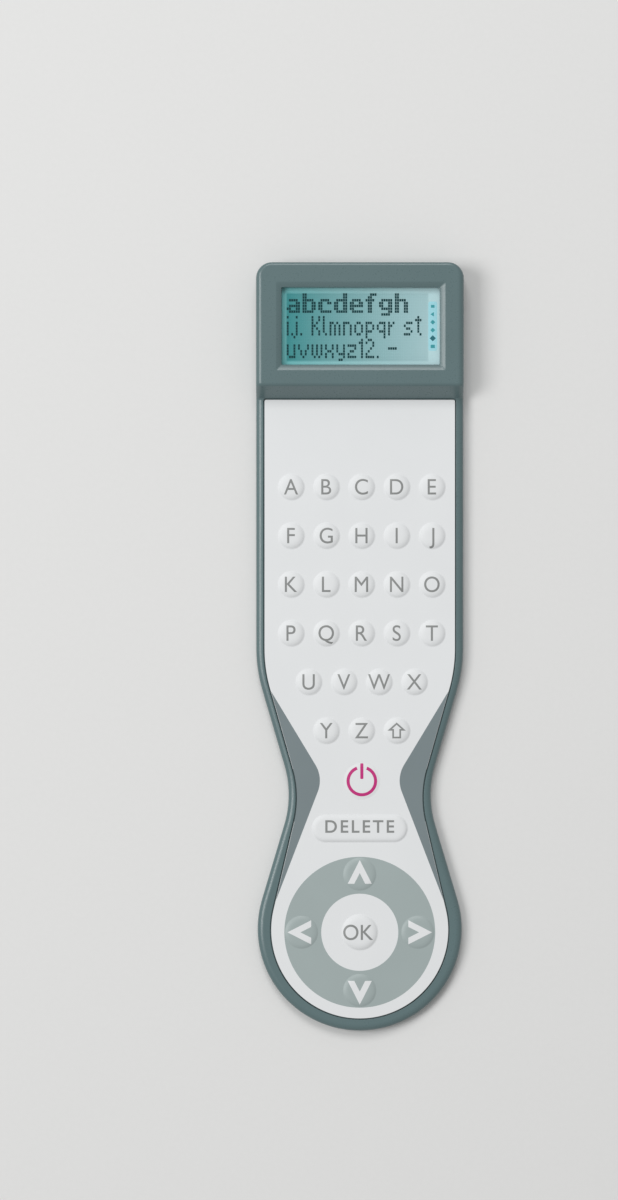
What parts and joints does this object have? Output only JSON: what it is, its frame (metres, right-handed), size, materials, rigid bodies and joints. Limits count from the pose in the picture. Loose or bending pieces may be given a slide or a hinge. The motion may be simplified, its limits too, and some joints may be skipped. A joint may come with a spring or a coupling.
{
  "type": "electronic dictionary bookmark",
  "caption": "Slim pocket dictionary shaped as a bookmark, with a raised display head, lettered push keys under a film, and a round cursor pad",
  "frame": {"origin": "centre of the bounding box's lowest face: on the table, under the middle of the case", "axes": "+Z out of the key face, +Y towards the display head, +X to the reader's right"},
  "size_m": [0.0496, 0.1842, 0.0082],
  "materials": {
    "case_grey": "satin, very fine grain",
    "overlay_white": "printed film, satin",
    "key_white": "printed film over moulded bump, satin",
    "key_green": "printed film over moulded bump, satin",
    "lens_clear": "clear acrylic, polished",
    "display_glass": "liquid crystal glass with polarisers",
    "reflector_film": "brushed reflective film",
    "frame_white": "moulded",
    "connector_rubber": "layered conductive rubber",
    "board_green": "solder mask",
    "epoxy_black": "cured epoxy",
    "metal_can": "drawn can",
    "capacitor_tan": "ceramic",
    "cell_nickel": "nickel plated can",
    "contact_steel": "nickel plated spring steel",
    "circuit_film": "polyimide film",
    "dome_film": "clear film with snap domes",
    "screw_steel": "zinc plated"
  },
  "bodies": {
    "root": {"rear_cover": "case_grey", "front_case": "case_grey", "keypad_overlay": "overlay_white", "display_lens": "lens_clear", "display_panel": "display_glass", "display_reflector": "reflector_film", "display_frame": "frame_white", "display_connector": "connector_rubber", "circuit_board": "board_green", "controller_blob": "epoxy_black", "timing_crystal": "metal_can", "smoothing_capacitor": "capacitor_tan", "coin_cell_left": "cell_nickel", "coin_cell_right": "cell_nickel", "cell_contact_left": "contact_steel", "cell_contact_right": "contact_steel", "key_circuit": "circuit_film", "dome_sheet": "dome_film", "case_screw_head_left": "screw_steel", "case_screw_head_right": "screw_steel", "case_screw_bowl_left": "screw_steel", "case_screw_bowl_right": "screw_steel"},
    "battery_door": {"battery_door": "case_grey", "battery_door_screw": "screw_steel", "cell_link_strip": "contact_steel"},
    "key_a": {"key_a": "key_white"},
    "key_b": {"key_b": "key_white"},
    "key_c": {"key_c": "key_white"},
    "key_d": {"key_d": "key_white"},
    "key_e": {"key_e": "key_white"},
    "key_f": {"key_f": "key_white"},
    "key_g": {"key_g": "key_white"},
    "key_h": {"key_h": "key_white"},
    "key_i": {"key_i": "key_white"},
    "key_j": {"key_j": "key_white"},
    "key_k": {"key_k": "key_white"},
    "key_l": {"key_l": "key_white"},
    "key_m": {"key_m": "key_white"},
    "key_n": {"key_n": "key_white"},
    "key_o": {"key_o": "key_white"},
    "key_p": {"key_p": "key_white"},
    "key_q": {"key_q": "key_white"},
    "key_r": {"key_r": "key_white"},
    "key_s": {"key_s": "key_white"},
    "key_t": {"key_t": "key_white"},
    "key_u": {"key_u": "key_white"},
    "key_v": {"key_v": "key_white"},
    "key_w": {"key_w": "key_white"},
    "key_x": {"key_x": "key_white"},
    "key_y": {"key_y": "key_white"},
    "key_z": {"key_z": "key_white"},
    "key_shift": {"key_shift": "key_white"},
    "key_power": {"key_power": "key_white"},
    "key_delete": {"key_delete": "key_white"},
    "key_ok": {"key_ok": "key_white"},
    "key_right": {"key_right": "key_green"},
    "key_up": {"key_up": "key_green"},
    "key_left": {"key_left": "key_green"},
    "key_down": {"key_down": "key_green"}
  },
  "joints": [
    {"name": "battery_door_slide", "type": "slide", "parent": "root", "child": "battery_door", "axis": [0, 0, -1], "range_m": [0, 0.006]},
    {"name": "key_a_press", "type": "slide", "parent": "root", "child": "key_a", "axis": [0, 0, -1], "range_m": [0, 0.0003], "stiffness_N_per_m": 1000},
    {"name": "key_b_press", "type": "slide", "parent": "root", "child": "key_b", "axis": [0, 0, -1], "range_m": [0, 0.0003], "stiffness_N_per_m": 1000},
    {"name": "key_c_press", "type": "slide", "parent": "root", "child": "key_c", "axis": [0, 0, -1], "range_m": [0, 0.0003], "stiffness_N_per_m": 1000},
    {"name": "key_d_press", "type": "slide", "parent": "root", "child": "key_d", "axis": [0, 0, -1], "range_m": [0, 0.0003], "stiffness_N_per_m": 1000},
    {"name": "key_e_press", "type": "slide", "parent": "root", "child": "key_e", "axis": [0, 0, -1], "range_m": [0, 0.0003], "stiffness_N_per_m": 1000},
    {"name": "key_f_press", "type": "slide", "parent": "root", "child": "key_f", "axis": [0, 0, -1], "range_m": [0, 0.0003], "stiffness_N_per_m": 1000},
    {"name": "key_g_press", "type": "slide", "parent": "root", "child": "key_g", "axis": [0, 0, -1], "range_m": [0, 0.0003], "stiffness_N_per_m": 1000},
    {"name": "key_h_press", "type": "slide", "parent": "root", "child": "key_h", "axis": [0, 0, -1], "range_m": [0, 0.0003], "stiffness_N_per_m": 1000},
    {"name": "key_i_press", "type": "slide", "parent": "root", "child": "key_i", "axis": [0, 0, -1], "range_m": [0, 0.0003], "stiffness_N_per_m": 1000},
    {"name": "key_j_press", "type": "slide", "parent": "root", "child": "key_j", "axis": [0, 0, -1], "range_m": [0, 0.0003], "stiffness_N_per_m": 1000},
    {"name": "key_k_press", "type": "slide", "parent": "root", "child": "key_k", "axis": [0, 0, -1], "range_m": [0, 0.0003], "stiffness_N_per_m": 1000},
    {"name": "key_l_press", "type": "slide", "parent": "root", "child": "key_l", "axis": [0, 0, -1], "range_m": [0, 0.0003], "stiffness_N_per_m": 1000},
    {"name": "key_m_press", "type": "slide", "parent": "root", "child": "key_m", "axis": [0, 0, -1], "range_m": [0, 0.0003], "stiffness_N_per_m": 1000},
    {"name": "key_n_press", "type": "slide", "parent": "root", "child": "key_n", "axis": [0, 0, -1], "range_m": [0, 0.0003], "stiffness_N_per_m": 1000},
    {"name": "key_o_press", "type": "slide", "parent": "root", "child": "key_o", "axis": [0, 0, -1], "range_m": [0, 0.0003], "stiffness_N_per_m": 1000},
    {"name": "key_p_press", "type": "slide", "parent": "root", "child": "key_p", "axis": [0, 0, -1], "range_m": [0, 0.0003], "stiffness_N_per_m": 1000},
    {"name": "key_q_press", "type": "slide", "parent": "root", "child": "key_q", "axis": [0, 0, -1], "range_m": [0, 0.0003], "stiffness_N_per_m": 1000},
    {"name": "key_r_press", "type": "slide", "parent": "root", "child": "key_r", "axis": [0, 0, -1], "range_m": [0, 0.0003], "stiffness_N_per_m": 1000},
    {"name": "key_s_press", "type": "slide", "parent": "root", "child": "key_s", "axis": [0, 0, -1], "range_m": [0, 0.0003], "stiffness_N_per_m": 1000},
    {"name": "key_t_press", "type": "slide", "parent": "root", "child": "key_t", "axis": [0, 0, -1], "range_m": [0, 0.0003], "stiffness_N_per_m": 1000},
    {"name": "key_u_press", "type": "slide", "parent": "root", "child": "key_u", "axis": [0, 0, -1], "range_m": [0, 0.0003], "stiffness_N_per_m": 1000},
    {"name": "key_v_press", "type": "slide", "parent": "root", "child": "key_v", "axis": [0, 0, -1], "range_m": [0, 0.0003], "stiffness_N_per_m": 1000},
    {"name": "key_w_press", "type": "slide", "parent": "root", "child": "key_w", "axis": [0, 0, -1], "range_m": [0, 0.0003], "stiffness_N_per_m": 1000},
    {"name": "key_x_press", "type": "slide", "parent": "root", "child": "key_x", "axis": [0, 0, -1], "range_m": [0, 0.0003], "stiffness_N_per_m": 1000},
    {"name": "key_y_press", "type": "slide", "parent": "root", "child": "key_y", "axis": [0, 0, -1], "range_m": [0, 0.0003], "stiffness_N_per_m": 1000},
    {"name": "key_z_press", "type": "slide", "parent": "root", "child": "key_z", "axis": [0, 0, -1], "range_m": [0, 0.0003], "stiffness_N_per_m": 1000},
    {"name": "key_shift_press", "type": "slide", "parent": "root", "child": "key_shift", "axis": [0, 0, -1], "range_m": [0, 0.0003], "stiffness_N_per_m": 1000},
    {"name": "key_power_press", "type": "slide", "parent": "root", "child": "key_power", "axis": [0, 0, -1], "range_m": [0, 0.0003], "stiffness_N_per_m": 1000},
    {"name": "key_delete_press", "type": "slide", "parent": "root", "child": "key_delete", "axis": [0, 0, -1], "range_m": [0, 0.0003], "stiffness_N_per_m": 1000},
    {"name": "key_ok_press", "type": "slide", "parent": "root", "child": "key_ok", "axis": [0, 0, -1], "range_m": [0, 0.0003], "stiffness_N_per_m": 1000},
    {"name": "key_right_press", "type": "slide", "parent": "root", "child": "key_right", "axis": [0, 0, -1], "range_m": [0, 0.0003], "stiffness_N_per_m": 1000},
    {"name": "key_up_press", "type": "slide", "parent": "root", "child": "key_up", "axis": [0, 0, -1], "range_m": [0, 0.0003], "stiffness_N_per_m": 1000},
    {"name": "key_left_press", "type": "slide", "parent": "root", "child": "key_left", "axis": [0, 0, -1], "range_m": [0, 0.0003], "stiffness_N_per_m": 1000},
    {"name": "key_down_press", "type": "slide", "parent": "root", "child": "key_down", "axis": [0, 0, -1], "range_m": [0, 0.0003], "stiffness_N_per_m": 1000}
  ]
}
